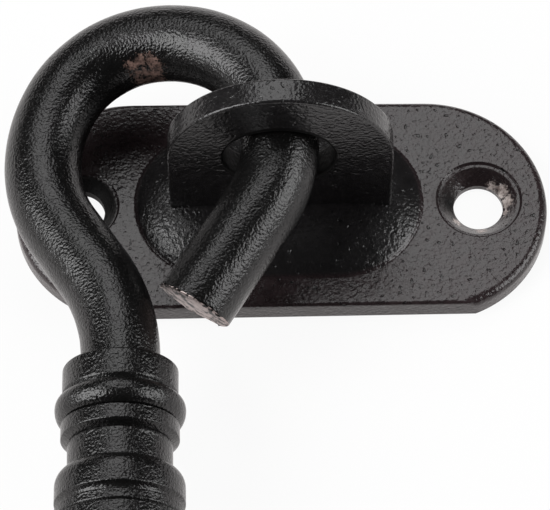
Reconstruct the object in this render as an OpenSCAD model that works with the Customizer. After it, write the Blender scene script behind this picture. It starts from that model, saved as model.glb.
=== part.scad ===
// Hook latch: a bent and turned hook arm that hangs in the eye of one plate
// and drops its tip into the eye of a second plate, the keeper.
// Both plates lie on z = 0. +X runs along the pivot plate, -Y runs along the
// arm to the keeper, and the origin is on the pivot plate's back, below its eye.

/* [Plates] */
// Length of each plate over its rounded ends
plate_len = 45; // [43:0.5:60]
// Width of each plate across its straight sides
plate_w = 19.7; // [18:0.1:26]
// Thickness of each plate
plate_t = 2; // [1.8:0.1:3]
// How much the end radius exceeds half the width, which leaves a soft corner
end_excess = 0.35; // [0.1:0.05:2]
// Chamfer along the top edge of each plate
plate_edge = 0.3; // [0.1:0.05:0.6]

/* [Screw holes] */
// Distance between the two screw holes of a plate
screw_spacing = 33.5; // [32.6:0.1:35]
// Diameter of the through hole for a 4 mm (No. 8) countersunk screw
screw_hole_d = 4.2; // [3.5:0.1:5]
// Diameter of the countersink at the plate's face
screw_head_d = 7.3; // [6.8:0.1:7.6]
// Straight lip at the countersink's mouth
screw_lip = 0.15; // [0.05:0.05:0.2]

/* [Eye] */
// Outer diameter of the upright eye
eye_d = 18.6; // [17.6:0.1:20]
// Thickness of the eye
eye_t = 2.25; // [1.8:0.05:2.6]
// Diameter of the hole through the eye
eye_hole_d = 9.6; // [9.4:0.1:10.6]
// Height of the hole's centre above the plate's back
eye_h = 11.1; // [10.6:0.1:13]
// Chamfer round the eye's rim
eye_edge = 0.3; // [0.1:0.05:0.5]
// Chamfer round the eye's hole
hole_edge = 0.2; // [0.1:0.05:0.4]
// Radius of the fillet between the eye's faces and the pad
eye_foot = 0.8; // [0.3:0.1:1.2]

/* [Pad under the eye] */
// Length of the raised pad at its foot
pad_len = 24.2; // [23.6:0.1:25]
// Width of the raised pad at its foot
pad_w = 14.8; // [13:0.1:17]
// Height of the pad above the plate's face
pad_h = 2.6; // [1.9:0.1:3]
// Slope of the pad's sides from the flat, in degrees
pad_slope = 52; // [45:1:55]
// Radius at the pad's shoulder
pad_shoulder_r = 2.8; // [1.5:0.1:3]
// Radius at the pad's foot
pad_foot_r = 1.2; // [0.8:0.1:1.4]

/* [Hook rod] */
// Diameter of the rod that the hook is bent from
rod_d = 6.4; // [5.6:0.1:6.5]
// Sideways lean of the hook's plane, loop side up, in degrees
arm_tilt = 14; // [10:0.5:16]
// Gap left above the rod in the pivot eye
loop_gap = 0.45; // [0.3:0.05:0.8]
// Gap left below the tip in the keeper eye
seat_gap = 0.3; // [0.2:0.05:0.5]

/* [Loop] */
// Centreline radius of the stretch that runs through the eye
loop_side_r = 11; // [10.6:0.1:13]
// Centreline radius over the top of the loop
loop_top_r = 8.8; // [8:0.1:11]
// Angle of the bend over the top
loop_top_a = 55; // [40:1:70]
// Centreline radius of the outer side
loop_back_r = 11.7; // [10.5:0.1:13]
// Angle of the bend on the outer side
loop_back_a = 63; // [50:1:75]
// Straight between the loop and the reverse bend
neck_len = 5.3; // [3:0.1:9]
// Centreline radius of the reverse bend
reverse_r = 14.7; // [11:0.1:18]
// Angle of the reverse bend
reverse_a = 32; // [26:1:36]
// Angle that the loop turns past the eye before its straight end
end_bend_a = 35; // [25:1:40]
// Length of the loop's straight end
loop_end_len = 9.4; // [6:0.1:11]
// Lean of the sawn end face, in degrees
end_cut = 6; // [0:1:10]

/* [Turned shank] */
// Plain rod left above the first collar
collar_at = 0.9; // [0.3:0.1:2]
// Diameter of the first collar
collar_d = 9.2; // [8:0.1:10]
// Length of the first collar
collar_len = 2.2; // [1.8:0.1:4]
// Length of the rounding at the collar's foot
collar_fall = 0.6; // [0.3:0.1:0.8]
// Diameter of the bead
bead_d = 10.5; // [9.8:0.1:11]
// Length of the bead
bead_len = 2.5; // [2:0.1:4]
// Diameter of the ring below the bead
ring_d = 9.5; // [9:0.1:9.8]
// Length of the ring below the bead
ring_len = 1.7; // [1.4:0.1:3]
// Diameter of the neck
neck_d = 8.4; // [7.6:0.1:8.8]
// Length of the neck
turned_neck_len = 2.9; // [0.8:0.1:4]
// Diameter of the barrel
barrel_d = 10.4; // [9.6:0.1:11]
// Length of the barrel between the two necks
barrel_len = 18; // [15:0.5:26]
// Distance from the barrel's end to its groove
barrel_groove_at = 2.6; // [2.4:0.1:5]
// Width of the barrel's grooves
groove_w = 0.7; // [0.35:0.05:0.9]
// Depth of the barrel's grooves
groove_depth = 0.3; // [0.15:0.05:0.4]
// Distance from the groove to the fine line past it
fine_line_at = 0.7; // [0.5:0.1:2]
// Width and depth of a fine scored line
fine_line = 0.12; // [0.08:0.01:0.15]
// Length of the rounded shoulder at the barrel's end
barrel_round = 1.3; // [0.8:0.1:1.8]
// Length of the rounded shoulder at the ring's foot
ring_round = 0.7; // [0.4:0.1:1]

/* [Hook end] */
// Straight length of the arm, from the reverse bend to the hook's bend
arm_len = 56; // [50:0.5:70]
// Centreline radius of the hook's bend
hook_r = 8; // [7.6:0.1:8.6]
// Angle of the hook's bend
hook_a = 97; // [94:1:100]
// Length of the tip past the keeper's eye
tip_len = 6; // [4.6:0.1:8]
// Diameter at the tip's rounded end
tip_d = 4.6; // [3.6:0.1:5]
// Length of the tip's taper
tip_taper = 3.2; // [2.6:0.1:3.6]
// Straight from the hook's bend to the middle of the keeper's eye
tip_lead = 1.9; // [1.7:0.1:3]

/* [Bending] */
// How much bending draws the rod down, on its radius
draw_down = 0.01; // [0.01:0.005:0.05]

/* [Hidden] */
$fn = 64;
black_coat = [0.05, 0.05, 0.055];
rod_r = rod_d / 2;
end_r = plate_w / 2 + end_excess;
end_x = plate_len / 2 - end_r;
hole_r = eye_hole_d / 2;
through = 1;
arc_steps = 8;
bend_lap = 0.3;

// Height of the rod's centre in each eye at rest. The pivot's rod hangs near
// the top of its hole. The keeper's tip lies leaning on the foot of its hole.
pivot_z = eye_h + hole_r - rod_r - loop_gap;
keeper_z = eye_h - hole_r + rod_r / cos(arm_tilt) + eye_t / 2 * tan(arm_tilt) + seat_gap;

// A place on the rod is [x, y, heading], in the hook's own plane, with its
// zero at the rod's centre in the pivot eye. A left bend has a positive angle.
function bend_centre(p, r, a) = [
    p[0] - sign(a) * r * sin(p[2]),
    p[1] + sign(a) * r * cos(p[2])
];
function bent(p, r, a) = [
    bend_centre(p, r, a)[0] + sign(a) * r * sin(p[2] + a),
    bend_centre(p, r, a)[1] - sign(a) * r * cos(p[2] + a),
    p[2] + a
];
function ahead(p, len) = [p[0] + len * cos(p[2]), p[1] + len * sin(p[2]), p[2]];

// From the eye up round the loop and down the arm to the tip
loop_side_a = 180 + reverse_a - loop_top_a - loop_back_a;
at_top = bent([0, 0, 90], loop_side_r, loop_side_a);
at_back = bent(at_top, loop_top_r, loop_top_a);
at_neck = bent(at_back, loop_back_r, loop_back_a);
at_reverse = ahead(at_neck, neck_len);
at_shank = bent(at_reverse, reverse_r, -reverse_a);
at_hook = ahead(at_shank, arm_len);
at_tip = bent(at_hook, hook_r, hook_a);
at_keeper = ahead(at_tip, tip_lead);

// From the eye down to the loop's sawn end
at_loop_end = bent([0, 0, -90], loop_side_r, -end_bend_a);

// The arm falls a little from the pivot eye to the keeper eye
rise_at_keeper = at_keeper[0] * sin(arm_tilt);
arm_fall = asin((pivot_z + rise_at_keeper - keeper_z) / -at_keeper[1]);
keeper_pos = [
    at_keeper[0] * cos(arm_tilt),
    at_keeper[1] * cos(arm_fall) - rise_at_keeper * sin(arm_fall),
    0
];

// Points of an arc in a profile, about [x, y], from angle a0 to a1
function arc(x, y, r, a0, a1) = [
    for (i = [0 : arc_steps]) let (a = a0 + (a1 - a0) * i / arc_steps) [x + r * cos(a), y + r * sin(a)]
];

// Side of the pad from its flat top to its foot, as [out, up] from the face
pad_rounds = pad_shoulder_r + pad_foot_r;
pad_turn = pad_rounds * (1 - cos(pad_slope));
pad_run = pad_rounds * sin(pad_slope) + (pad_h - pad_turn) / tan(pad_slope);
pad_side = concat(
    arc(pad_w / 2 - pad_run, pad_h - pad_shoulder_r, pad_shoulder_r, 90, 90 - pad_slope),
    arc(pad_w / 2, pad_foot_r, pad_foot_r, 270 - pad_slope, 270)
);
pad_end_x = (pad_len - pad_w) / 2;

module pad() {
    half = concat([[0, -plate_t / 2], [0, pad_h]], pad_side, [[pad_w / 2, -plate_t / 2]]);
    for (side = [-1, 1])
        translate([side * pad_end_x, 0, plate_t]) rotate_extrude() polygon(half);
    translate([-pad_end_x, 0, plate_t])
        rotate([90, 0, 90])
            linear_extrude(2 * pad_end_x)
                union() {
                    polygon(half);
                    mirror([1, 0]) polygon(half);
                }
}

// Flat plate with straight sides, round ends and a chamfered top edge
module base_plate() {
    side = plate_w / 2;
    disc = [[0, 0], [end_r, 0], [end_r, plate_t - plate_edge], [end_r - plate_edge, plate_t], [0, plate_t]];
    band = [
        [-side, 0], [side, 0], [side, plate_t - plate_edge], [side - plate_edge, plate_t],
        [plate_edge - side, plate_t], [-side, plate_t - plate_edge]
    ];
    intersection() {
        translate([-plate_len, 0, 0]) rotate([90, 0, 90]) linear_extrude(2 * plate_len) polygon(band);
        union() {
            for (end = [-1, 1])
                translate([end * end_x, 0, 0]) rotate_extrude() polygon(disc);
            translate([-end_x, -plate_w, 0]) cube([2 * end_x, 2 * plate_w, plate_t]);
        }
    }
}

module screw_hole() {
    sink = (screw_head_d - screw_hole_d) / 2;
    translate([0, 0, -through]) cylinder(h = plate_t + 2 * through, d = screw_hole_d);
    translate([0, 0, plate_t - screw_lip - sink])
        cylinder(h = sink, d1 = screw_hole_d, d2 = screw_head_d);
    translate([0, 0, plate_t - screw_lip]) cylinder(h = screw_lip + through, d = screw_head_d);
}

// Upright eye: a disc on a straight foot, chamfered all round
module eye_blank() {
    r = eye_d / 2;
    t = eye_t / 2;
    c = eye_edge;
    disc = [[0, -t], [r - c, -t], [r, c - t], [r, t - c], [r - c, t], [0, t]];
    foot = [[-r, c - t], [c - r, -t], [r - c, -t], [r, c - t], [r, t - c], [r - c, t], [c - r, t], [-r, t - c]];
    translate([0, 0, eye_h]) rotate([90, 0, 0]) rotate_extrude() polygon(disc);
    translate([0, 0, plate_t / 2]) linear_extrude(eye_h - plate_t / 2) polygon(foot);
}

// Fillet where the eye's two faces meet the pad
module eye_fillet() {
    t = eye_t / 2;
    out = t + eye_foot;
    pad_top = plate_t + pad_h;
    half = concat(
        [[0, plate_t / 2], [out, plate_t / 2]],
        arc(out, pad_top + eye_foot, eye_foot, 270, 180),
        [[0, pad_top + eye_foot]]
    );
    len = eye_d - 2 * eye_edge;
    translate([-len / 2, 0, 0])
        rotate([90, 0, 90])
            linear_extrude(len)
                union() {
                    polygon(half);
                    mirror([1, 0]) polygon(half);
                }
}

module eye_hole() {
    t = eye_t / 2;
    translate([0, 0, eye_h]) rotate([90, 0, 0]) {
        cylinder(h = eye_t + 2 * through, r = hole_r, center = true);
        for (face = [0, 1])
            mirror([0, 0, face])
                translate([0, 0, t - hole_edge])
                    cylinder(h = 2 * hole_edge, r1 = hole_r, r2 = hole_r + 2 * hole_edge);
    }
}

// One casting: plate, pad and upright eye, with two countersunk screw holes
module eye_plate() {
    difference() {
        union() {
            base_plate();
            pad();
            eye_blank();
            eye_fillet();
        }
        eye_hole();
        for (end = [-1, 1])
            translate([end * screw_spacing / 2, 0, 0]) screw_hole();
    }
}

// Round rod along a straight, from p
module straight_rod(p, len) {
    translate([p[0], p[1], 0]) rotate([0, 90, p[2]]) cylinder(h = len, r = rod_r);
}

// Rod round a bend, from p, drawn down and lapped into the stretches at its ends
module bent_rod(p, r, a) {
    lap_a = bend_lap / r * 180 / PI;
    start = a > 0 ? p[2] - 90 : p[2] + 90 + a;
    translate(bend_centre(p, r, a))
        rotate_extrude(start = start - lap_a, angle = abs(a) + 2 * lap_a)
            translate([r, 0]) circle(r = rod_r - draw_down);
}

// The tight bend over the loop's top, between two drawn ones, keeps its full size
module full_bend(p, r, a) {
    translate(bend_centre(p, r, a))
        rotate_extrude(start = p[2] - 90, angle = a) translate([r, 0]) circle(r = rod_r);
}

// Outline of one end of the turned shank, as [radius, distance along the arm].
// It starts at the rod and ends at the barrel's groove.
collar_r = collar_d / 2;
bead_r = bead_d / 2;
ring_r = ring_d / 2;
neck_r = neck_d / 2;
barrel_r = barrel_d / 2;
collar_round = collar_len / 2;
bead_at = collar_at + collar_len;
ring_at = bead_at + bead_len;
turned_neck_at = ring_at + ring_len;
barrel_at = turned_neck_at + turned_neck_len;
notch_r = (collar_r + neck_r) / 2;
turned_end = concat(
    [[rod_r, 0]],
    [for (q = arc(0, 0, 1, 180, 90)) [rod_r + (collar_r - rod_r) * q[1], collar_at + collar_round * (1 + q[0])]],
    [for (q = arc(0, 0, 1, 90, 0)) [notch_r + (collar_r - notch_r) * q[1], bead_at + collar_fall * (q[0] - 1)]],
    [for (q = arc(0, 0, 1, 180, 0)) [notch_r + (bead_r - notch_r) * q[1], bead_at + bead_len * (1 + q[0]) / 2]],
    [[ring_r - fine_line, ring_at], [ring_r, ring_at + fine_line]],
    [for (q = arc(0, 0, 1, 90, 0))
        [neck_r + (ring_r - neck_r) * q[1], turned_neck_at + ring_round * (q[0] - 1)]],
    [[neck_r, barrel_at]],
    [for (q = arc(0, 0, 1, 180, 90)) [neck_r + (barrel_r - neck_r) * q[1], barrel_at + barrel_round * (1 + q[0])]],
    [[barrel_r - fine_line, barrel_at + barrel_round + fine_line]],
    [[barrel_r, barrel_at + barrel_round + 2 * fine_line]]
);

// A groove in the barrel, then a narrow ring and a fine line
groove_at = barrel_at + barrel_groove_at;
ring_line_at = groove_at + groove_w + fine_line_at;
barrel_marks = [
    [barrel_r, groove_at],
    [barrel_r - groove_depth, groove_at + fine_line],
    [barrel_r - groove_depth, groove_at + groove_w - fine_line],
    [barrel_r, groove_at + groove_w],
    [barrel_r, ring_line_at - fine_line],
    [barrel_r - fine_line, ring_line_at],
    [barrel_r, ring_line_at + fine_line]
];
turned_half = concat(turned_end, barrel_marks);
turned_len = 2 * barrel_at + barrel_len;
shank_outline = concat(
    [[0, 0]],
    turned_half,
    [for (i = [len(turned_half) - 1 : -1 : 0]) [turned_half[i][0], turned_len - turned_half[i][1]]],
    [[rod_r, arm_len], [0, arm_len]]
);

// Turned length and the plain rod below it, down to the hook's bend
module shank() {
    translate([at_shank[0], at_shank[1], 0])
        rotate([90, 0, 0])
            rotate_extrude() polygon(shank_outline);
}

// Tapered end of the hook, with a rounded nose
nose_r = tip_d / 2;
nose_at = tip_lead + tip_len - nose_r;
tip_outline = concat(
    [[0, 0], [rod_r, 0], [rod_r, nose_at - tip_taper]],
    arc(0, nose_at, nose_r, 0, 90)
);
module tip() {
    translate([at_tip[0], at_tip[1], 0])
        rotate([0, 90, at_tip[2]])
            rotate_extrude() polygon(tip_outline);
}

// Straight end of the loop, sawn off a little out of square
module loop_end() {
    difference() {
        straight_rod(at_loop_end, loop_end_len + rod_r);
        translate([at_loop_end[0], at_loop_end[1], 0])
            rotate([0, 0, at_loop_end[2]])
                translate([loop_end_len, 0, 0])
                    rotate([0, end_cut, 0])
                        translate([0, -rod_d, -rod_d]) cube([2 * rod_d, 2 * rod_d, 2 * rod_d]);
    }
}

module hook_in_plane() {
    loop_end();
    bent_rod([at_loop_end[0], at_loop_end[1], 90 - end_bend_a], loop_side_r, end_bend_a + loop_side_a);
    full_bend(at_top, loop_top_r, loop_top_a);
    bent_rod(at_back, loop_back_r, loop_back_a);
    straight_rod(at_neck, neck_len);
    bent_rod(at_reverse, reverse_r, -reverse_a);
    shank();
    bent_rod(at_hook, hook_r, hook_a);
    tip();
}

module pivot_plate() {
    color(black_coat) eye_plate();
}

module hook_arm() {
    color(black_coat)
        translate([0, 0, pivot_z])
            rotate([arm_fall, 0, 0])
                rotate([0, -arm_tilt, 0])
                    hook_in_plane();
}

module keeper_plate() {
    color(black_coat) translate(keeper_pos) rotate([0, 0, 90]) eye_plate();
}

pivot_plate();
hook_arm();
keeper_plate();
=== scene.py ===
import math

import bmesh
import bpy
from mathutils import Matrix, Vector


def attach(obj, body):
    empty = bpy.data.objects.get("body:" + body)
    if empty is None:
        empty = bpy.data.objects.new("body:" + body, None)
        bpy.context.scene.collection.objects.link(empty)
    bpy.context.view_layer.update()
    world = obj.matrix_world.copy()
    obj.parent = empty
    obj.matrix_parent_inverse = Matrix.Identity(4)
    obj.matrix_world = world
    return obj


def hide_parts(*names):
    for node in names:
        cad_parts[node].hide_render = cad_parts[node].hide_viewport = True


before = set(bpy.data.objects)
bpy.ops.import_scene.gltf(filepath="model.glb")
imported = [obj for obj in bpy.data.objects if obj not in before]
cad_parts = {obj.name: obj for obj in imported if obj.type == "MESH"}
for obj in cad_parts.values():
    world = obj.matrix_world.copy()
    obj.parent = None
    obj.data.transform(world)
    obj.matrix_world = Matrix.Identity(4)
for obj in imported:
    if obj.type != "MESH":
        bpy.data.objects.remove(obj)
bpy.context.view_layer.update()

MM = 0.001

# Points nearer than WELD are one, and HAIR is the slack when parts of a mesh are picked by their place
WELD, HAIR = 0.001 * MM, 0.01 * MM

# Plates. The near straight edge is broken more than the far one, and the round ends most
PLATE_LEN = 45 * MM
PLATE_W = 19.7 * MM
PLATE_T = 2 * MM
PLATE_END_R = 10.2 * MM
NEAR_EDGE, FAR_EDGE = 0.35 * MM, 0.12 * MM
END_EDGE = 0.75 * MM
SCREW_SPACING = 33.5 * MM
SCREW_HOLE_R = 2.1 * MM
SCREW_HEAD_R = 3.6 * MM
SCREW_LIP = 0.22 * MM
SINK_RING_W, SINK_RING_DROP = 0.4 * MM, 0.16 * MM

# Upright eye and the pad below it
EYE_R = 9.3 * MM
EYE_T = 2.25 * MM
EYE_HOLE_R = 4.8 * MM
COATED_HOLE_R = 4.6 * MM
HOLE_ROUND = 0.22 * MM
EYE_EDGE = 0.25 * MM
EYE_H = 11.1 * MM
PAD_LEN = 24.2 * MM
PAD_W = 14.8 * MM
PAD_CROWN_R, PAD_BROW_R, PAD_FOOT_R = 14 * MM, 0.7 * MM, 0.3 * MM
PAD_SLOPE, PAD_FOOT_SLOPE = 26, 50

# How the castings stray from their design. The right end is cast towards -Y, the pad reaches out to the
# left, the left countersink lies out and is smaller, and the pivot eye's hole alone is flat and to the left
RIGHT_END_LOW = 0.4 * MM
PAD_OUT_LEFT = 0.4 * MM
LEFT_SINK_OUT, LEFT_SINK_LESS = 0.3 * MM, 0.25 * MM
HOLE_FLAT, HOLE_LEFT = 0.9, 0.13 * MM

# Hook rod, as in the frame. Lengths and radii of bends are of its middle line, and angles are in degrees.
# The saw works on the last SAWN_REACH of the bar, which is first pulled END_SPARE too long
ROD_R = 3.2 * MM
ARM_TILT = 14
LOOP_GAP = 0.45 * MM
SEAT_GAP = 0.3 * MM
LOOP_SIDE_R = 11 * MM
LOOP_TOP_R, LOOP_TOP_A = 8.8 * MM, 55
LOOP_BACK_R, LOOP_BACK_A = 11.7 * MM, 63
NECK_LEN = 5.3 * MM
REVERSE_R, REVERSE_A = 14.7 * MM, 32
END_BEND_A = 35
LOOP_END_LEN = 9.4 * MM
END_CUT = 6
END_SPARE = 0.6 * MM
SAWN_EDGE = 0.12 * MM
SAWN_REACH = 4 * MM
ARM_LEN = 56 * MM
HOOK_R, HOOK_A = 8 * MM, 97
TIP_LEN, TIP_LEAD, TIP_TAPER = 6 * MM, 1.9 * MM, 3.2 * MM
TIP_END_R = 2.3 * MM

# Turned shank, at each end of its barrel
COLLAR_AT, COLLAR_R, COLLAR_LEN = 1 * MM, 4.65 * MM, 2.8 * MM
COLLAR_ROUND, COLLAR_FALL = 0.42 * MM, 0.36 * MM
NOTCH_R = 4.4 * MM
BEAD_R, BEAD_RISE, BEAD_LEN = 5.25 * MM, 0.95 * MM, 2.25 * MM
RING_R, RING_LEN = 4.75 * MM, 1.75 * MM
NECK_R, TURNED_NECK_LEN = 4.2 * MM, 2.4 * MM
BARREL_R, BARREL_LEN = 5.2 * MM, 18 * MM
BARREL_ROUND, RING_FALL = 1.3 * MM, 0.45 * MM
GROOVE_AT, GROOVE_W, GROOVE_DEPTH = 2.65 * MM, 0.7 * MM, 0.4 * MM
FINE_LINE, FINE_LINE_AT = 0.12 * MM, 0.85 * MM

# Sides of the bent bar, the spacing of the rings along it, and its unevenness
ROUND = 96
RING_STEP = 0.4 * MM
BAR_SWELL_W, BAR_SWELL_H = 3.5 * MM, 0.06 * MM

# Edges blunter than this are shaded smooth, in degrees
SMOOTH_CASTING, SMOOTH_BAR = 38, 55

# Patterns of the coat: swells under its pebbles, mottling, a casting's pits and the ragged edge of wear
COAT_SWELL = 2 * MM
MOTTLE = 0.9 * MM
PIT = 0.5 * MM
RAGGED = 0.3 * MM

# Places of a plate's screw holes along it
SCREW_X = SCREW_SPACING / 2
LEFT_SCREW_X = -SCREW_X - LEFT_SINK_OUT


# Places on the bar, in the hook's own plane, are (x, y, heading in degrees)
def bend_centre(place, radius, angle):
    x, y, heading = place
    side = math.copysign(radius, angle)
    h = math.radians(heading)
    return x - side * math.sin(h), y + side * math.cos(h)


def bent(place, radius, angle):
    cx, cy = bend_centre(place, radius, angle)
    side = math.copysign(radius, angle)
    h = math.radians(place[2] + angle)
    return cx + side * math.sin(h), cy - side * math.cos(h), place[2] + angle


def ahead(place, length):
    x, y, heading = place
    h = math.radians(heading)
    return x + length * math.cos(h), y + length * math.sin(h), heading


LOOP_SIDE_A = 180 + REVERSE_A - LOOP_TOP_A - LOOP_BACK_A
EYE_PLACE = (0, 0, 90)
AT_TOP = bent(EYE_PLACE, LOOP_SIDE_R, LOOP_SIDE_A)
AT_BACK = bent(AT_TOP, LOOP_TOP_R, LOOP_TOP_A)
AT_NECK = bent(AT_BACK, LOOP_BACK_R, LOOP_BACK_A)
AT_REVERSE = ahead(AT_NECK, NECK_LEN)
AT_SHANK = bent(AT_REVERSE, REVERSE_R, -REVERSE_A)
AT_HOOK = ahead(AT_SHANK, ARM_LEN)
AT_TIP = bent(AT_HOOK, HOOK_R, HOOK_A)
AT_KEEPER = ahead(AT_TIP, TIP_LEAD)
AT_LOOP_END = bent((0, 0, -90), LOOP_SIDE_R, -END_BEND_A)
AT_SAWN_END = ahead(AT_LOOP_END, LOOP_END_LEN)

# The arm falls a little from the pivot eye to the keeper eye
TILT = math.radians(ARM_TILT)
PIVOT_Z = EYE_H + EYE_HOLE_R - ROD_R - LOOP_GAP
KEEPER_Z = EYE_H - EYE_HOLE_R + ROD_R / math.cos(TILT) + EYE_T / 2 * math.tan(TILT) + SEAT_GAP
KEEPER_RISE = AT_KEEPER[0] * math.sin(TILT)
FALL = math.asin((PIVOT_Z + KEEPER_RISE - KEEPER_Z) / -AT_KEEPER[1])
KEEPER_POS = Vector((
    AT_KEEPER[0] * math.cos(TILT),
    AT_KEEPER[1] * math.cos(FALL) - KEEPER_RISE * math.sin(FALL),
    0,
))
HOOK_TO_FRAME = (
    Matrix.Translation((0, 0, PIVOT_Z))
    @ Matrix.Rotation(FALL, 4, "X")
    @ Matrix.Rotation(-TILT, 4, "Y")
)


def in_frame(place, up=0):
    """A place in the hook's plane, as a point of the frame."""
    return HOOK_TO_FRAME @ Vector((place[0], place[1], up))


# Modelling, as by hand
def deselect():
    bpy.ops.object.select_all(action="DESELECT")


def edit():
    bpy.ops.object.mode_set(mode="EDIT")


def done():
    bpy.ops.object.mode_set(mode="OBJECT")


def pick(test, of="verts"):
    """Select the vertices, edges or faces of the open mesh whose middle passes the test."""
    bpy.ops.mesh.select_mode(type={"verts": "VERT", "edges": "EDGE", "faces": "FACE"}[of])
    bpy.ops.mesh.select_all(action="DESELECT")
    open_mesh = bmesh.from_edit_mesh(bpy.context.object.data)
    for part in getattr(open_mesh, of):
        if of == "verts":
            middle = part.co
        elif of == "edges":
            middle = (part.verts[0].co + part.verts[1].co) / 2
        else:
            middle = part.calc_center_median()
        if test(middle):
            part.select_set(True)
    open_mesh.select_flush_mode()
    bmesh.update_edit_mesh(bpy.context.object.data)


def modify(kind, **settings):
    """Add a modifier to the active object and apply it."""
    piece = bpy.context.object
    modifier = piece.modifiers.new(kind.title(), kind)
    for name, value in settings.items():
        setattr(modifier, name, value)
    bpy.ops.object.modifier_apply(modifier=modifier.name)


def activate(piece):
    deselect()
    piece.select_set(True)
    bpy.context.view_layer.objects.active = piece


def boolean(piece, tool, operation):
    activate(piece)
    modify("BOOLEAN", object=tool, operation=operation, solver="EXACT")
    bpy.data.objects.remove(tool)


def spread_halves(distance):
    """Pull a round piece's two halves apart along X, so that it gets straight sides."""
    for side in (-1, 1):
        pick(lambda middle: middle.x * side > 0)
        bpy.ops.transform.translate(value=(side * distance, 0, 0))


def lathe_up(outline, sides=ROUND):
    """Turn a disc at the origin into the solid whose outline is [(radius, height), ...], lowest first."""
    radius, height = outline[0]
    bpy.ops.mesh.primitive_circle_add(
        vertices=sides, radius=radius, fill_type="NGON",
        location=(0, 0, height), rotation=(0, 0, math.pi / sides),
    )
    bpy.ops.object.transform_apply(location=True, rotation=True, scale=True)
    edit()
    for next_radius, next_height in outline[1:]:
        rise = (0, 0, next_height - height)
        bpy.ops.mesh.extrude_region_move(TRANSFORM_OT_translate={"value": rise})
        grow = next_radius / radius
        bpy.ops.transform.resize(value=(grow, grow, 1), center_override=(0, 0, next_height))
        radius, height = next_radius, next_height
    bpy.ops.mesh.select_all(action="SELECT")
    bpy.ops.mesh.normals_make_consistent(inside=False)


def arc(x, y, radius, start, end, steps=8):
    """Points (x, y) of an arc, both ends included, with its angles in degrees."""
    angles = [math.radians(start + (end - start) * i / steps) for i in range(steps + 1)]
    return [(x + radius * math.cos(a), y + radius * math.sin(a)) for a in angles]


def near(x, y, table):
    """Points of an outline near an edge, from a table of (across, up) in millimetres."""
    return [(x + across * MM, y + up * MM) for across, up in table]


def base_plate():
    """Flat plate: a disc pulled apart and cut straight along its sides, its right end a little towards -Y."""
    deselect()
    end_x = PLATE_LEN / 2 - PLATE_END_R
    edge = arc(PLATE_END_R - END_EDGE, PLATE_T - END_EDGE, END_EDGE, 0, 90, steps=6)
    lathe_up([(PLATE_END_R, 0)] + edge, sides=160)
    spread_halves(end_x)
    pick(lambda middle: middle.x > 0)
    bpy.ops.transform.translate(value=(0, -RIGHT_END_LOW, 0))
    done()
    piece = bpy.context.object
    deselect()
    bpy.ops.mesh.primitive_cube_add(size=1, location=(0, 0, 0))
    bpy.ops.transform.resize(value=(2 * PLATE_LEN, PLATE_W, 2 * PLATE_T))
    bpy.ops.object.transform_apply(location=True, rotation=True, scale=True)
    edit()
    for side, width in ((-1, NEAR_EDGE), (1, FAR_EDGE)):
        pick(
            lambda middle: side * middle.y > PLATE_W / 3 and middle.z > PLATE_T / 2 and abs(middle.x) < HAIR,
            "edges",
        )
        bpy.ops.mesh.bevel(offset=width, segments=4, affect="EDGES")
    done()
    boolean(piece, bpy.context.object, "INTERSECT")
    return piece


def pad():
    """Raised pad, a low dome on a short steep foot, a little longer to the left."""
    deselect()
    outline = arc(PAD_W / 2, PLATE_T + PAD_FOOT_R, PAD_FOOT_R, 270, 270 - PAD_FOOT_SLOPE, steps=6)
    turn = PAD_FOOT_SLOPE
    for radius, slope, steps in ((PAD_BROW_R, PAD_SLOPE, 6), (PAD_CROWN_R, 0, 18)):
        x, y = outline[-1]
        x -= radius * math.sin(math.radians(turn))
        y -= radius * math.cos(math.radians(turn))
        outline += arc(x, y, radius, 90 - turn, 90 - slope, steps)[1:]
        turn = slope
    lathe_up([(PAD_W / 2, PLATE_T / 2)] + outline, sides=128)
    spread_halves((PAD_LEN - PAD_W) / 2)
    pick(lambda middle: middle.x < 0)
    bpy.ops.transform.translate(value=(-PAD_OUT_LEFT, 0, 0))
    done()
    return bpy.context.object


def upright_eye():
    """Disc on edge, drawn down into the pad."""
    deselect()
    bpy.ops.mesh.primitive_cylinder_add(
        vertices=160, radius=EYE_R, depth=EYE_T, location=(0, 0, EYE_H), rotation=(math.pi / 2, 0, 0),
    )
    bpy.ops.object.transform_apply(location=True, rotation=True, scale=True)
    edit()
    pick(lambda middle: middle.z < EYE_H - HAIR)
    bpy.ops.transform.translate(value=(0, 0, -EYE_R))
    foot_z = PLATE_T / 2
    bpy.ops.mesh.select_all(action="SELECT")
    bpy.ops.mesh.bisect(plane_co=(0, 0, foot_z), plane_no=(0, 0, -1), use_fill=True, clear_outer=True)
    pick(lambda middle: abs(middle.y) > EYE_T / 2 - HAIR and middle.z > foot_z + HAIR, "edges")
    bpy.ops.mesh.bevel(offset=EYE_EDGE, segments=3, affect="EDGES")
    bpy.ops.mesh.select_all(action="SELECT")
    bpy.ops.mesh.normals_make_consistent(inside=False)
    done()
    return bpy.context.object


def screw_cutter(x, head_r):
    """Countersink as one turned cutter: hole, cone, and a slim flat ring below the plate's face."""
    deselect()
    ring_in = head_r - SINK_RING_W
    ring_z = PLATE_T - SCREW_LIP
    cone_z = ring_z - SINK_RING_DROP
    outline = [
        (SCREW_HOLE_R, -PLATE_T / 2),
        (SCREW_HOLE_R, cone_z - (ring_in - SCREW_HOLE_R)),
        (ring_in, cone_z),
    ]
    outline += near(ring_in, ring_z, [(0.05, -0.02)])
    outline += near(head_r, ring_z, [(-0.14, 0), (-0.04, 0.1)])
    outline += near(head_r, PLATE_T, [(0, -0.06), (0.06, 0), (0.1, 1)])
    lathe_up(outline, sides=96)
    bpy.ops.mesh.select_all(action="SELECT")
    bpy.ops.transform.translate(value=(x, 0, 0))
    done()
    return bpy.context.object


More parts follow.
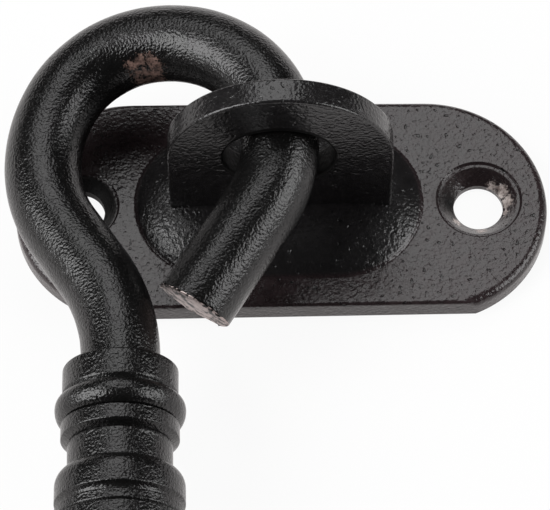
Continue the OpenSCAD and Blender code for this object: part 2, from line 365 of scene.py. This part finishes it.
def eye_cutter(strayed):
    """Hole through the eye, rounded over at both faces. A strayed one is flatter at its bottom."""
    deselect()
    face = EYE_T / 2
    mouth = [
        (COATED_HOLE_R + HOLE_ROUND - x, y - face)
        for y, x in arc(HOLE_ROUND, 0, HOLE_ROUND, 180, 90, steps=5)
    ]
    front = [(mouth[0][0], -2 * face)] + mouth
    lathe_up(front + [(radius, -height) for radius, height in reversed(front)], sides=128)
    bpy.ops.mesh.select_all(action="SELECT")
    bpy.ops.transform.rotate(value=math.pi / 2, orient_axis="X", center_override=(0, 0, 0))
    if strayed:
        bpy.ops.transform.resize(value=(1, 1, HOLE_FLAT), center_override=(0, 0, COATED_HOLE_R))
        bpy.ops.transform.translate(value=(-HOLE_LEFT, 0, 0))
    bpy.ops.transform.translate(value=(0, 0, EYE_H))
    done()
    return bpy.context.object


def clouds(name, size):
    """Soft cloud texture for the unevenness of a bent bar, size across one swell."""
    texture = bpy.data.textures.new(name, "CLOUDS")
    texture.noise_scale = size
    texture.noise_depth = 2
    return texture


def casting(name, strayed):
    """Plate, pad and upright eye cast in one, its left countersink a little out and less deep.
    A strayed one has the flatter hole in its eye."""
    piece = base_plate()
    boolean(piece, pad(), "UNION")
    boolean(piece, upright_eye(), "UNION")
    boolean(piece, eye_cutter(strayed), "DIFFERENCE")
    boolean(piece, screw_cutter(SCREW_X, SCREW_HEAD_R), "DIFFERENCE")
    boolean(piece, screw_cutter(LEFT_SCREW_X, SCREW_HEAD_R - LEFT_SINK_LESS), "DIFFERENCE")
    piece.name = piece.data.name = name
    bpy.ops.object.shade_smooth_by_angle(angle=math.radians(SMOOTH_CASTING))
    modify("WEIGHTED_NORMAL", mode="FACE_AREA", weight=60, keep_sharp=True)
    return piece


def start_ring(place):
    """Open ring of the bar at a place, facing along its heading."""
    deselect()
    bpy.ops.mesh.primitive_circle_add(
        vertices=ROUND, radius=ROD_R, location=(place[0], place[1], 0),
        rotation=(0, math.pi / 2, math.radians(place[2])),
    )
    bpy.ops.object.transform_apply(location=True, rotation=True, scale=True)
    edit()
    bpy.ops.mesh.select_mode(type="EDGE")
    bpy.ops.mesh.select_all(action="SELECT")
    return place


def pull(place, outline, radius=ROD_R, done_len=0):
    """Pull the ring straight on, through the outline's [(distance, radius), ...]."""
    for distance, next_radius in outline:
        x, y, _ = ahead((0, 0, place[2]), distance - done_len)
        bpy.ops.mesh.extrude_region_move(TRANSFORM_OT_translate={"value": (x, y, 0)})
        place = ahead(place, distance - done_len)
        grow = next_radius / radius
        if abs(grow - 1) > 1e-9:
            bpy.ops.transform.resize(value=(grow, grow, grow), center_override=(place[0], place[1], 0))
        radius, done_len = next_radius, distance
    return place


def pull_plain(place, length):
    steps = max(1, round(length / RING_STEP))
    return pull(place, [(length * (i + 1) / steps, ROD_R) for i in range(steps)])


def bend(place, radius, angle):
    """Bend the bar on from its open ring."""
    steps = max(2, round(math.radians(abs(angle)) * radius / RING_STEP))
    cx, cy = bend_centre(place, radius, angle)
    bpy.ops.mesh.spin(steps=steps, angle=-math.radians(angle), center=(cx, cy, 0), axis=(0, 0, 1))
    return bent(place, radius, angle)


def rounded(top_at, length, low, high, start, end, steps):
    """Part of an ellipse in the bar's outline: high at top_at, and low a length before it, at 180 degrees,
    or past it, at 0."""
    return [(top_at + length * x, low + (high - low) * y) for x, y in arc(0, 0, 1, start, end, steps)]


def turned_end():
    """Outline [(distance, radius), ...] of one end of the turned shank, from the rod to past its groove.
    A flat length has more rings near its edges, so that smooth shading stays even along it."""
    bead_at = COLLAR_AT + COLLAR_LEN
    ring_at = bead_at + BEAD_LEN
    neck_at = ring_at + RING_LEN
    barrel_at = neck_at + TURNED_NECK_LEN
    groove = barrel_at + GROOVE_AT
    line_at = groove + GROOVE_W + FINE_LINE_AT
    deep, line = GROOVE_DEPTH / MM, FINE_LINE / MM

    # Flat collar with a round shoulder and a steep fall
    shoulder_at = COLLAR_AT + COLLAR_ROUND
    fall_at = bead_at - COLLAR_FALL
    points = [(COLLAR_AT / 2, ROD_R)]
    points += rounded(shoulder_at, COLLAR_ROUND, ROD_R, COLLAR_R, 178, 90, steps=10)
    points += near(shoulder_at, COLLAR_R, [(0.4, 0), (0.8, 0)])
    points += near(fall_at, COLLAR_R, [(-0.4, 0), (-0.08, 0), (0, 0), (0.08, -0.05)])
    points += [(fall_at + COLLAR_FALL / 2, (COLLAR_R + NOTCH_R) / 2)]
    points += near(bead_at, NOTCH_R, [(-0.06, 0.03)])

    # Round bead behind a notch, steeper on its upper side
    top_at = bead_at + BEAD_RISE
    points += rounded(top_at, BEAD_RISE, NOTCH_R, BEAD_R, 180, 90, steps=8)
    points += rounded(top_at, BEAD_LEN - BEAD_RISE, NOTCH_R, BEAD_R, 90, 5, steps=9)[1:]

    # Ring with a crisp upper edge and a steep fall, then the neck behind a fine ridge
    fall_at = neck_at - RING_FALL
    points += near(ring_at, RING_R, [(0.05, -line), (0.12, 0), (0.25, 0), (0.6, 0), (0.95, 0)])
    points += near(fall_at, RING_R, [(-0.08, 0), (0, 0), (0.06, -0.04)])
    points += [(fall_at + RING_FALL / 2, (RING_R + NECK_R - FINE_LINE) / 2)]
    points += near(neck_at, NECK_R, [(-0.04, -line), (0.06, 0), (0.12, 0.03), (0.3, 0)])
    points += near(neck_at, NECK_R, [(0.7, 0), (1.1, 0), (1.5, 0), (1.9, 0)])
    points += near(barrel_at, NECK_R, [(-0.15, 0)])

    # Barrel with a rounded shoulder, a steep-sided groove with a slight burr at its far edge, and a fine line
    points += rounded(barrel_at + BARREL_ROUND, BARREL_ROUND, NECK_R, BARREL_R, 180, 90, steps=12)
    points += near(groove, BARREL_R, [
        (-0.8, 0), (-0.4, 0), (-0.08, 0), (0, 0), (0.05, -0.04), (0.2, -0.85 * deep),
    ])
    points += near(groove + GROOVE_W, BARREL_R, [
        (-0.14, -deep), (-0.08, -deep), (0, -0.03), (0.08, 0.02), (0.16, 0), (0.4, 0),
    ])
    points += near(line_at, BARREL_R, [(-0.18, 0), (-0.1, 0), (0, -line), (0.1, 0), (0.18, 0)])
    return points, barrel_at


def shank(place):
    """Turned length between two equal ends, then the plain rod down to the hook."""
    points, barrel_at = turned_end()
    whole = 2 * barrel_at + BARREL_LEN
    last = points[-1][0]
    steps = round((whole - 2 * last) / RING_STEP)
    middle = [(last + (whole - 2 * last) * (i + 1) / steps, BARREL_R) for i in range(steps - 1)]
    far = [(whole - distance, radius) for distance, radius in reversed(points)]
    plain_steps = round((ARM_LEN - whole) / RING_STEP)
    plain = [(whole + (ARM_LEN - whole) * (i + 1) / plain_steps, ROD_R) for i in range(plain_steps)]
    return pull(place, points + middle + far + plain)


def tip(place):
    """Tapered end with a rounded nose, closed at its pole."""
    nose_at = TIP_LEAD + TIP_LEN - TIP_END_R
    plain_steps, taper_steps = 10, 8
    plain = [((nose_at - TIP_TAPER) * (i + 1) / plain_steps, ROD_R) for i in range(plain_steps)]
    shares = [(i + 1) / taper_steps for i in range(taper_steps)]
    taper = [(nose_at - TIP_TAPER * (1 - share), ROD_R + (TIP_END_R - ROD_R) * share) for share in shares]
    nose = [(nose_at + x, y) for y, x in arc(0, 0, TIP_END_R, 0, 86, steps=14)][1:]
    place = pull(place, plain + taper + nose)
    bpy.ops.mesh.edge_face_add()
    return place


def saw_end():
    """Saw the loop's end off a little out of square, and break its edge."""
    x, y, heading = AT_SAWN_END
    h, lean = math.radians(heading), math.radians(END_CUT)
    along = Vector((math.cos(h), math.sin(h), 0))
    normal = along * math.cos(lean) - Vector((0, 0, 1)) * math.sin(lean)
    centre = Vector((x, y, 0))

    def on_end(middle):
        distance = (middle - centre).dot(along)
        beside = (middle - centre - distance * along).length
        return -SAWN_REACH < distance < 2 * END_SPARE and beside < 1.1 * ROD_R

    pick(on_end)
    bpy.ops.mesh.bisect(plane_co=centre, plane_no=normal, use_fill=True, clear_outer=True)
    pick(
        lambda middle: abs((middle - centre).dot(normal)) < WELD and (middle - centre).length < ROD_R / 6,
        "faces",
    )
    bpy.ops.mesh.bevel(offset=SAWN_EDGE, segments=2, affect="EDGES")


def hook_bar():
    """The hook: one bar, bent round its loop, turned along its shank and bent again at its tip."""
    x, y, heading = ahead(AT_SAWN_END, END_SPARE)
    place = start_ring((x, y, heading + 180))
    place = pull_plain(place, LOOP_END_LEN + END_SPARE)
    place = bend(place, LOOP_SIDE_R, END_BEND_A + LOOP_SIDE_A)
    place = bend(place, LOOP_TOP_R, LOOP_TOP_A)
    place = bend(place, LOOP_BACK_R, LOOP_BACK_A)
    place = pull_plain(place, NECK_LEN)
    place = bend(place, REVERSE_R, -REVERSE_A)
    place = shank(place)
    place = bend(place, HOOK_R, HOOK_A)
    tip(place)
    saw_end()
    bpy.ops.mesh.select_all(action="SELECT")
    bpy.ops.mesh.remove_doubles(threshold=WELD)
    bpy.ops.mesh.normals_make_consistent(inside=False)
    done()
    piece = bpy.context.object
    piece.name = piece.data.name = "bent_hook"
    return piece


def set_hook(piece):
    """Lean the hook's plane, let the arm fall to the keeper and lift it to the eye."""
    activate(piece)
    piece.matrix_world = HOOK_TO_FRAME
    bpy.ops.object.transform_apply(location=True, rotation=True, scale=True)


# Materials
def linear(hex_colour):
    """An sRGB hex colour as linear RGBA."""
    channels = [int(hex_colour[i:i + 2], 16) / 255 for i in (1, 3, 5)]
    return tuple(c / 12.92 if c <= 0.04045 else ((c + 0.055) / 1.055) ** 2.4 for c in channels) + (1,)


def add(tree, kind, settings=None, **inputs):
    """Add a node, set its settings, and set or link its inputs. A double underscore stands for a space,
    and i with a number for the input of that number."""
    node = tree.nodes.new(kind)
    for name, value in (settings or {}).items():
        setattr(node, name, value)
    for name, value in inputs.items():
        key = int(name[1:]) if name[0] == "i" and name[1:].isdigit() else name.replace("__", " ")
        if isinstance(value, bpy.types.NodeSocket):
            tree.links.new(value, node.inputs[key])
        else:
            node.inputs[key].default_value = value
    return node


def new_material(name):
    material = bpy.data.materials.new(name)
    material.use_nodes = True
    tree = material.node_tree
    tree.nodes.clear()
    return material, tree


def spot(tree, place, centre, radius, soft):
    """1 inside a ball round the centre, fading to 0 over the soft width."""
    away = add(tree, "ShaderNodeVectorMath", {"operation": "DISTANCE"}, i0=place, i1=centre)
    return add(tree, "ShaderNodeMapRange", None, Value=away.outputs["Value"], From__Min=radius + soft,
               From__Max=radius - soft, To__Min=0.0, To__Max=1.0).outputs["Result"]


def spots(tree, place, balls):
    """The strongest of several spots at each place."""
    mask = None
    for centre, radius, soft in balls:
        here = spot(tree, place, centre, radius, soft)
        if mask is None:
            mask = here
        else:
            mask = add(tree, "ShaderNodeMath", {"operation": "MAXIMUM"}, i0=mask, i1=here).outputs[0]
    return mask


def powder_coat(name, grain, relief, sheen, ior, dust, pitted, worn, painted_shade=(),
                bare_iron=("#6f605b", "#e6dad5")):
    """Black powder coat, sprayed and baked over cast or bent iron: a satin skin of fine pebbles.
    grain is the width of one pebble and relief its height. sheen is the coat's roughness, and dust greys it.
    pitted adds a casting's small pits, and keeps the dust to its flat face.
    worn lists (centre, radius, soft) of the places that are rubbed down to bare_iron, dark to light.
    The places of the last list get painted shade: a dark, dull coat nearly without reflections on the walls
    of holes."""
    material, tree = new_material(name)
    place = add(tree, "ShaderNodeTexCoord").outputs["Object"]

    # Pebbles as baked powder flows, on wider swells, with a fine mottling of shade and gloss
    pebbles = add(tree, "ShaderNodeTexNoise", None, Vector=place, Scale=1 / grain, Detail=1.5, Roughness=0.5)
    swells = add(tree, "ShaderNodeTexNoise", None, Vector=place, Scale=1 / COAT_SWELL, Detail=1.0)
    mottle = add(tree, "ShaderNodeTexNoise", None, Vector=place, Scale=1 / MOTTLE, Detail=5.0,
                 Roughness=0.75).outputs["Fac"]
    height = add(tree, "ShaderNodeMath", {"operation": "MULTIPLY_ADD"},
                 i0=swells.outputs["Fac"], i1=0.7, i2=pebbles.outputs["Fac"]).outputs[0]
    shade = mottle
    settled = linear(dust)
    if pitted:
        # Dust lies on the plate's face and not on the pad and the eye
        up = add(tree, "ShaderNodeSeparateXYZ", None, Vector=place).outputs["Z"]
        flat = add(tree, "ShaderNodeMapRange", None, Value=up, From__Min=PLATE_T + 0.3 * MM,
                   From__Max=PLATE_T + 0.1 * MM).outputs["Result"]
        settled = add(tree, "ShaderNodeMix", {"data_type": "RGBA"}, i0=flat, i6=linear("#232122"),
                      i7=settled).outputs[2]
        pits = add(tree, "ShaderNodeTexNoise", None, Vector=place, Scale=1 / PIT, Detail=1.0, Roughness=0.5)
        pits = add(tree, "ShaderNodeMapRange", None, Value=pits.outputs["Fac"], From__Min=0.24,
                   From__Max=0.36).outputs["Result"]
        height = add(tree, "ShaderNodeMath", {"operation": "MULTIPLY_ADD"},
                     i0=pits, i1=0.5, i2=height).outputs[0]
        shade = add(tree, "ShaderNodeMath", {"operation": "MULTIPLY"}, i0=shade, i1=pits).outputs[0]
    bump = add(tree, "ShaderNodeBump", None, Height=height, Strength=1.0, Distance=relief).outputs["Normal"]

    coat_colour = add(tree, "ShaderNodeMix", {"data_type": "RGBA"}, i0=shade, i6=linear("#060606"),
                      i7=settled).outputs[2]
    satin = add(tree, "ShaderNodeMapRange", None, Value=mottle, From__Min=0.3, From__Max=0.7,
                To__Min=sheen - 0.04, To__Max=sheen + 0.04).outputs["Result"]
    shader = add(tree, "ShaderNodeBsdfPrincipled", None, Base__Color=coat_colour, Roughness=satin,
                 Normal=bump, IOR=ior).outputs["BSDF"]
    if painted_shade:
        # Painted shade: a dark, dull coat nearly without reflections, standing for the shade on these walls
        mask = spots(tree, place, painted_shade)
        painted_shade_coat = add(tree, "ShaderNodeBsdfPrincipled", None, Base__Color=linear("#0c0b0b"), Roughness=0.55,
                   Normal=bump, Specular__IOR__Level=0.12).outputs["BSDF"]
        shader = add(tree, "ShaderNodeMixShader", None, i0=mask, i1=shader, i2=painted_shade_coat).outputs["Shader"]
    if worn:
        # Bare iron with grit left in it, up to a ragged edge of the coat
        ragged = add(tree, "ShaderNodeTexNoise", None, Vector=place, Scale=1 / RAGGED, Detail=4.0,
                     Roughness=0.75).outputs["Fac"]
        mask = spots(tree, place, worn)
        mask = add(tree, "ShaderNodeMath", {"operation": "MULTIPLY_ADD"},
                   i0=ragged, i1=1.6, i2=mask).outputs[0]
        mask = add(tree, "ShaderNodeMapRange", None, Value=mask, From__Min=1.25,
                   From__Max=1.4).outputs["Result"]
        grit = add(tree, "ShaderNodeMapRange", None, Value=mottle, From__Min=0.38,
                   From__Max=0.62).outputs["Result"]
        bare_colour = add(tree, "ShaderNodeMix", {"data_type": "RGBA"}, i0=grit,
                          i6=linear(bare_iron[0]), i7=linear(bare_iron[1])).outputs[2]
        bare = add(tree, "ShaderNodeBsdfPrincipled", None, Base__Color=bare_colour, Metallic=0.3,
                   Roughness=0.4, Normal=bump).outputs["BSDF"]
        shader = add(tree, "ShaderNodeMixShader", None, i0=mask, i1=shader, i2=bare).outputs["Shader"]
    add(tree, "ShaderNodeOutputMaterial", None, Surface=shader)
    return material


def sawn_iron():
    """Iron bar, sawn across and left bare: a pale, dull metal with dark torn flecks along the cut.
    The flecks are 0.8 by 0.3 mm, coarser than a saw's teeth leave them, so that they show."""
    material, tree = new_material("sawn_bar_end")
    place = add(tree, "ShaderNodeTexCoord").outputs["Object"]
    lines = add(tree, "ShaderNodeMapping", None, Vector=place, Rotation=(0, 0, 0.6), Scale=(1, 2.5, 1))
    saw = add(tree, "ShaderNodeTexNoise", None, Vector=lines.outputs["Vector"], Scale=1 / (0.8 * MM),
              Detail=5.0, Roughness=0.65).outputs["Fac"]
    flecks = add(tree, "ShaderNodeMapRange", None, Value=saw, From__Min=0.475,
                 From__Max=0.495).outputs["Result"]
    colour = add(tree, "ShaderNodeMix", {"data_type": "RGBA"}, i0=flecks,
                 i6=linear("#100d0c"), i7=linear("#ada09d")).outputs[2]
    bump = add(tree, "ShaderNodeBump", None, Height=saw, Strength=1.0, Distance=0.12 * MM)
    metal = add(tree, "ShaderNodeBsdfPrincipled", None, Base__Color=colour, Metallic=1.0,
                Roughness=0.5, Normal=bump.outputs["Normal"])
    add(tree, "ShaderNodeOutputMaterial", None, Surface=metal.outputs["BSDF"])
    return material


def floor_material():
    """Pale table that shows white to the eye and in reflections, and keeps a soft shadow."""
    material, tree = new_material("pale_table")
    path = add(tree, "ShaderNodeLightPath")
    seen = add(tree, "ShaderNodeMath", {"operation": "MAXIMUM"},
               i0=path.outputs["Is Camera Ray"], i1=path.outputs["Is Glossy Ray"])
    seen = add(tree, "ShaderNodeMath", {"operation": "MAXIMUM"},
               i0=seen.outputs[0], i1=path.outputs["Is Transmission Ray"])
    share = add(tree, "ShaderNodeMath", {"operation": "MULTIPLY"}, i0=seen.outputs[0], i1=0.92)
    paper = add(tree, "ShaderNodeBsdfDiffuse", None, Color=linear("#f4f4f4"))
    tint = add(tree, "ShaderNodeMix", {"data_type": "RGBA"}, i0=path.outputs["Is Glossy Ray"],
               i6=(1, 1, 1, 1), i7=linear("#fffbfa"))
    white = add(tree, "ShaderNodeEmission", None, Color=tint.outputs[2], Strength=1.0)
    mixed = add(tree, "ShaderNodeMixShader", None, i0=share.outputs[0], i1=paper.outputs["BSDF"],
                i2=white.outputs["Emission"])
    add(tree, "ShaderNodeOutputMaterial", None, Surface=mixed.outputs["Shader"])
    return material


# Studio
def floor():
    deselect()
    bpy.ops.mesh.primitive_plane_add(size=6, location=(0, 0, -0.02 * MM))
    table = bpy.context.object
    table.name = "table"
    table.data.materials.append(floor_material())


def softbox(name, towards, distance, width, height, level):
    """Soft lamp in a direction from the eye, facing it. level is the radiance of its face."""
    data = bpy.data.lights.new(name, "AREA")
    data.shape = "RECTANGLE"
    data.size, data.size_y = width, height
    data.energy = level * math.pi * width * height
    lamp = bpy.data.objects.new(name, data)
    direction = Vector(towards).normalized()
    lamp.location = direction * distance + Vector((0, 0, EYE_H))
    lamp.rotation_euler = direction.to_track_quat("Z", "Y").to_euler()
    bpy.context.scene.collection.objects.link(lamp)


def studio():
    world = bpy.data.worlds.new("dim_studio")
    world.use_nodes = True
    tree = world.node_tree
    tree.nodes.clear()
    path = add(tree, "ShaderNodeLightPath")
    dim = add(tree, "ShaderNodeBackground", None, Color=(1, 1, 1, 1), Strength=0.03)
    white = add(tree, "ShaderNodeBackground", None, Color=(1, 1, 1, 1), Strength=1.0)
    mixed = add(tree, "ShaderNodeMixShader", None, i0=path.outputs["Is Camera Ray"],
                i1=dim.outputs["Background"], i2=white.outputs["Background"])
    add(tree, "ShaderNodeOutputWorld", None, Surface=mixed.outputs["Shader"])
    bpy.context.scene.world = world
    softbox("left_softbox", (-0.78, -0.17, 0.6), distance=0.9, width=0.62, height=0.76, level=5.9)
    softbox("back_softbox", (-0.07, 0.53, 0.83), distance=0.9, width=0.62, height=0.64, level=2.38)
    softbox("right_softbox", (0.86, -0.12, 0.48), distance=0.9, width=0.66, height=0.6, level=4.0)


def camera():
    """Camera on the place, turn and lens that the outlines of the plate, the eye and the shank give."""
    data = bpy.data.cameras.new("camera")
    data.lens = 218.2
    data.sensor_width = 36
    data.clip_start, data.clip_end = 0.01, 20
    view = bpy.data.objects.new("camera", data)
    view.location = (-1.1 * MM, -137.5 * MM, 248.1 * MM)
    view.rotation_euler = [math.radians(a) for a in (28.29, 0.38, -0.93)]
    bpy.context.scene.collection.objects.link(view)
    bpy.context.scene.camera = view


# Where a screw head has rubbed the coat off round the right countersink, as (x from the hole, y, z,
# radius of the spot) in millimetres
RUBBED_BY_SCREW = [
    (1.2, 1.9, 0.7, 0.4), (2.1, 1.3, 0.9, 0.65), (2.4, 0.3, 1.0, 0.6), (2.2, -0.7, 0.8, 0.3),
    (-1.9, -1.6, 0.8, 0.4), (0.1, -2.5, 0.9, 0.5),
]

# Where the loop rubs, on the inner side of its top, as (x, y, z) in millimetres
RUBBED_ON_LOOP = [
    (-12.2, 8.4, 11.0), (-11.5, 8.3, 11.6), (-10.7, 8.2, 11.8), (-10.2, 8.1, 11.2), (-11.9, 8.2, 10.2),
    (-11.1, 8.0, 10.4), (-10.3, 7.9, 10.3), (-11.6, 8.0, 9.3), (-10.8, 7.9, 9.4), (-10.0, 7.8, 9.4),
    (-11.0, 7.8, 8.6), (-10.2, 7.7, 8.6),
]

# Places of painted shade, as (centre, radius, soft), painted dark and dull: the wall of the eye's hole, the
# left countersink, and the left of the right countersink
PAINTED_SHADE_PLACES = [
    ((-HOLE_LEFT, 0, EYE_H + (1 - HOLE_FLAT) * COATED_HOLE_R), COATED_HOLE_R + 0.3 * MM, 0.05 * MM),
    ((LEFT_SCREW_X, 0, 0.4 * MM), 3.4 * MM, 0.12 * MM),
    ((SCREW_X - 2.6 * MM, 0.2 * MM, 0.8 * MM), 1.1 * MM, 0.9 * MM),
]


def coat_castings(pivot, keeper):
    """Give both castings their coat. Only the pivot plate's is worn, and it has painted shade in its holes.
    """
    worn = [
        ((SCREW_X + x * MM, y * MM, z * MM), radius * MM, 0.6 * MM)
        for x, y, z, radius in RUBBED_BY_SCREW
    ]
    coat = {
        "grain": 0.3 * MM, "relief": 0.06 * MM, "sheen": 0.24, "ior": 1.55,
        "dust": "#3a2e30", "pitted": True,
    }
    pivot.data.materials.clear()
    pivot.data.materials.append(powder_coat("powder_coat_on_cast_plate", worn=worn, painted_shade=PAINTED_SHADE_PLACES, **coat))
    keeper.data.materials.clear()
    keeper.data.materials.append(powder_coat("powder_coat_on_cast_keeper", worn=[], **coat))


def coat_hook(hook):
    """Give the hook its coat, and its sawn end bare metal."""
    hook.data.materials.append(powder_coat(
        "powder_coat_on_bent_bar", grain=0.22 * MM, relief=0.07 * MM, sheen=0.22, ior=1.5,
        dust="#121111", pitted=False,
        worn=[((x * MM, y * MM, z * MM), 0.55 * MM, 0.75 * MM) for x, y, z in RUBBED_ON_LOOP],
        bare_iron=("#3d2f2b", "#94786e"),
    ))
    hook.data.materials.append(sawn_iron())
    end = in_frame(AT_SAWN_END)
    along = (in_frame(ahead(AT_SAWN_END, MM)) - end).normalized()
    up = (in_frame(AT_SAWN_END, MM) - end).normalized()
    sawn_normal = along * math.cos(math.radians(END_CUT)) - up * math.sin(math.radians(END_CUT))
    for face in hook.data.polygons:
        away = Vector(face.center) - end
        if away.length < 1.1 * ROD_R and abs(away.dot(sawn_normal)) < SAWN_EDGE:
            face.material_index = 1


def build():
    pivot = casting("pivot_casting", True)
    keeper = casting("keeper_casting", False)
    activate(keeper)
    keeper.matrix_world = Matrix.Translation(KEEPER_POS) @ Matrix.Rotation(math.pi / 2, 4, "Z")
    bpy.ops.object.transform_apply(location=True, rotation=True, scale=True)

    hook = hook_bar()
    modify("DISPLACE", texture=clouds("bar_swell", BAR_SWELL_W), strength=BAR_SWELL_H, mid_level=0.5)
    set_hook(hook)
    bpy.ops.object.shade_smooth_by_angle(angle=math.radians(SMOOTH_BAR))

    coat_castings(pivot, keeper)
    coat_hook(hook)

    for piece, node, body in (
        (pivot, "pivot_plate", "plates"),
        (keeper, "keeper_plate", "plates"),
        (hook, "hook_arm", "hook"),
    ):
        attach(piece, body)
        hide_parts(node)


bpy.context.scene.view_settings.view_transform = "Standard"
camera()
floor()
studio()
build()
